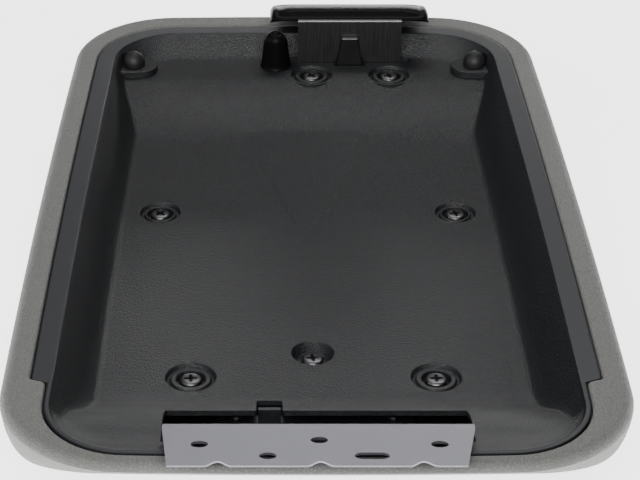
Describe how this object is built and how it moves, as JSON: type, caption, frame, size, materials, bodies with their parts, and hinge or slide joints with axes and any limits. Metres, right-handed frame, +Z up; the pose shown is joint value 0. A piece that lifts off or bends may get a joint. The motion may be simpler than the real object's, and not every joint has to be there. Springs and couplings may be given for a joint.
{
  "type": "center console lid",
  "caption": "Padded center console lid lying upside down, with a moulded tray inside, a steel hinge leaf at one end and a sprung latch handle at the other.",
  "frame": {"origin": "middle of the lid's outer box, at the level of the flat crown that it lies on", "axes": "+X to the right, +Y from the hinge end to the latch end, +Z up out of the tray"},
  "size_m": [0.28, 0.486, 0.078],
  "materials": {
    "vinyl": "grained matte vinyl",
    "foam": "cut foam",
    "tray_plastic": "fine grain",
    "carrier_plastic": "as moulded",
    "gloss_black": "gloss",
    "zinc_steel": "zinc plated",
    "dark_steel": "black coated",
    "bright_steel": "plain bright",
    "black_rubber": "satin"
  },
  "bodies": {
    "lid": {"cover_skin": "vinyl", "foam_pad": "foam", "top_shell": "carrier_plastic", "inner_liner": "tray_plastic", "corner_bumper_left": "black_rubber", "corner_bumper_right": "black_rubber", "locating_post": "gloss_black", "latch_housing": "carrier_plastic", "latch_pivot_pin": "bright_steel", "latch_return_spring": "bright_steel", "hinge_lid_leaf": "dark_steel", "hinge_pin": "bright_steel", "hinge_spring_left": "bright_steel", "hinge_spring_right": "bright_steel", "hinge_screw_left": "bright_steel", "hinge_screw_right": "bright_steel", "screw_near_left": "bright_steel", "screw_near_right": "bright_steel", "screw_centre": "bright_steel", "screw_mid_left": "bright_steel", "screw_mid_right": "bright_steel", "screw_far_left": "bright_steel", "screw_far_right": "bright_steel"},
    "hinge_leaf": {"hinge_plate": "zinc_steel"},
    "latch": {"latch_plate": "dark_steel", "latch_hook": "gloss_black", "latch_handle": "gloss_black"}
  },
  "joints": [
    {"name": "hinge_swing", "type": "hinge", "parent": "lid", "child": "hinge_leaf", "pos_m": [0, -0.193, 0.051], "axis": [1, 0, 0], "range_deg": [-80, 0], "stiffness_Nm_per_rad": 0.1, "springref_deg": 17.19},
    {"name": "latch_pivot", "type": "hinge", "parent": "lid", "child": "latch", "pos_m": [0.027, 0.196, 0.038], "axis": [1, 0, 0], "range_deg": [-6, 0], "stiffness_Nm_per_rad": 0.1, "springref_deg": 20.05}
  ]
}
